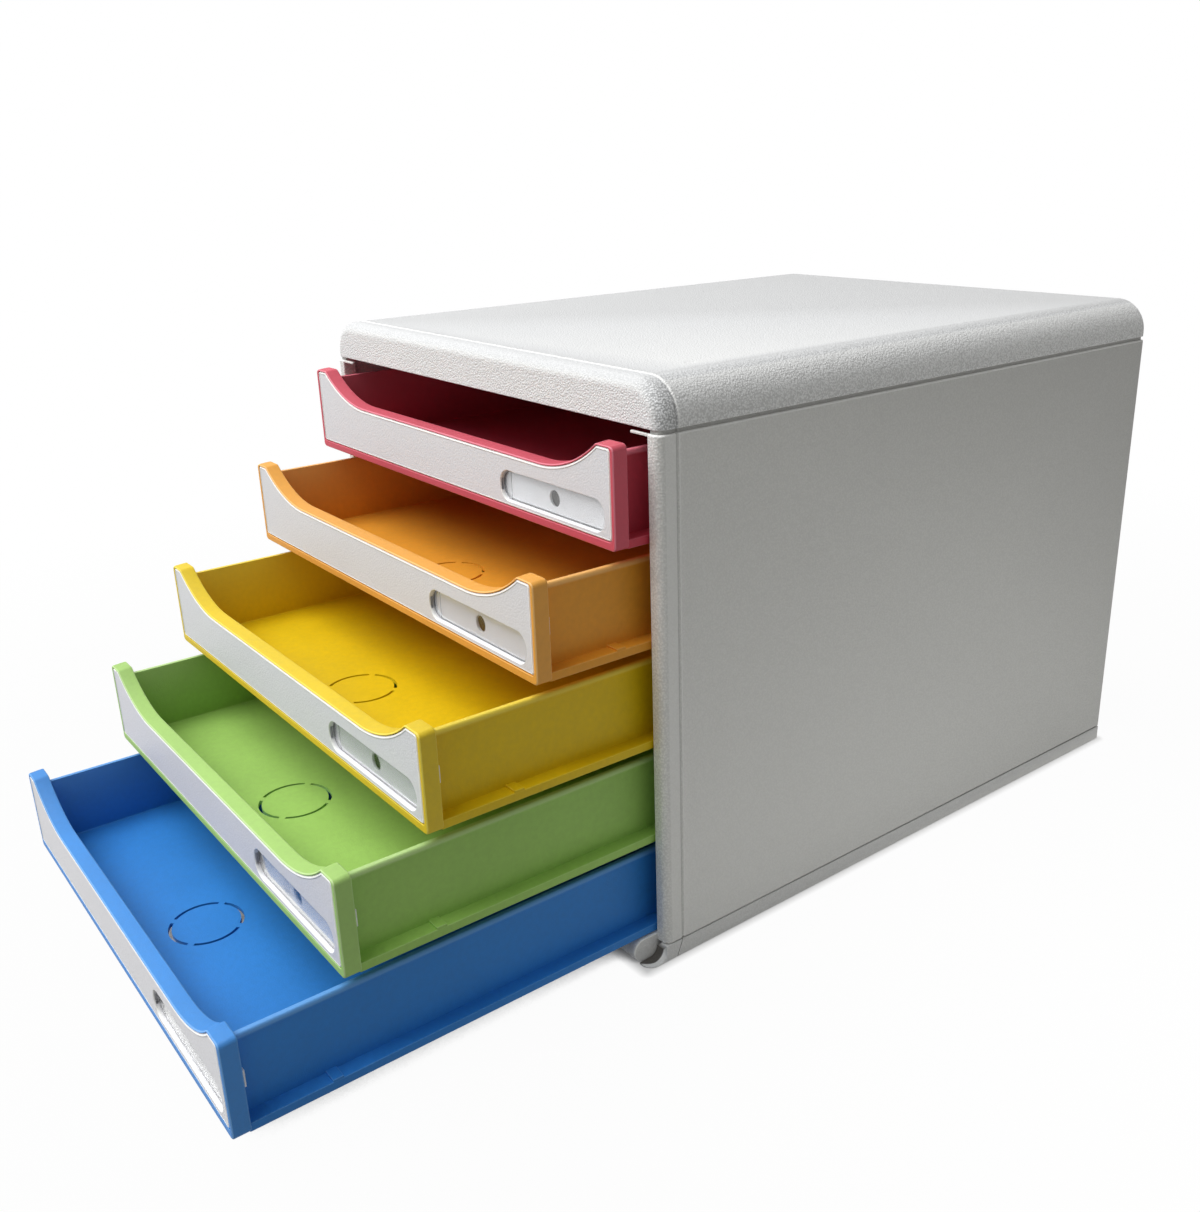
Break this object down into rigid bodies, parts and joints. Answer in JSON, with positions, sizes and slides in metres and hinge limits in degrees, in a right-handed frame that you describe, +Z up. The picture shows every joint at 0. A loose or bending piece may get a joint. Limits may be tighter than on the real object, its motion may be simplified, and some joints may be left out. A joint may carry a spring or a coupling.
{
  "type": "plastic drawer tower",
  "caption": "Desktop drawer tower: light grey moulded casing with a rounded cover and a stack of open, dipped-front coloured trays that slide out on runners.",
  "frame": {"origin": "centre of the casing's underside, on the surface that it stands on", "axes": "+X right seen from the front, drawers open toward -Y, +Z up"},
  "size_m": [0.275, 0.5295, 0.257],
  "materials": {
    "cover": "pebble-grained light grey polypropylene",
    "panels": "fine-grained light grey polypropylene",
    "base": "fine-grained light grey polypropylene",
    "back": "plain light grey polypropylene",
    "tray_pink": "satin pink polypropylene, moulded in colour",
    "tray_orange": "satin orange polypropylene, moulded in colour",
    "tray_yellow": "satin yellow polypropylene, moulded in colour",
    "tray_green": "satin green polypropylene, moulded in colour",
    "tray_blue": "satin blue polypropylene, moulded in colour",
    "face_plate": "satin light grey polystyrene",
    "label_window": "clear polished polystyrene"
  },
  "bodies": {
    "casing": {"top_cover": "cover", "left_side_panel": "panels", "right_side_panel": "panels", "base_tray": "base", "back_panel": "back", "bottom_front_rail": "base"},
    "drawer_1": {"drawer_1_tray": "tray_pink", "drawer_1_face_plate": "face_plate", "drawer_1_label_window": "label_window"},
    "drawer_2": {"drawer_2_tray": "tray_orange", "drawer_2_face_plate": "face_plate", "drawer_2_label_window": "label_window"},
    "drawer_3": {"drawer_3_tray": "tray_yellow", "drawer_3_face_plate": "face_plate", "drawer_3_label_window": "label_window"},
    "drawer_4": {"drawer_4_tray": "tray_green", "drawer_4_face_plate": "face_plate", "drawer_4_label_window": "label_window"},
    "drawer_5": {"drawer_5_tray": "tray_blue", "drawer_5_face_plate": "face_plate", "drawer_5_label_window": "label_window"}
  },
  "joints": [
    {"name": "drawer_1_slide", "type": "slide", "parent": "casing", "child": "drawer_1", "axis": [0, -1, 0], "range_m": [-0.01635, 0.22865]},
    {"name": "drawer_2_slide", "type": "slide", "parent": "casing", "child": "drawer_2", "axis": [0, -1, 0], "range_m": [-0.0554, 0.1896]},
    {"name": "drawer_3_slide", "type": "slide", "parent": "casing", "child": "drawer_3", "axis": [0, -1, 0], "range_m": [-0.107, 0.138]},
    {"name": "drawer_4_slide", "type": "slide", "parent": "casing", "child": "drawer_4", "axis": [0, -1, 0], "range_m": [-0.1454, 0.0996]},
    {"name": "drawer_5_slide", "type": "slide", "parent": "casing", "child": "drawer_5", "axis": [0, -1, 0], "range_m": [-0.1935, 0.0515]}
  ]
}
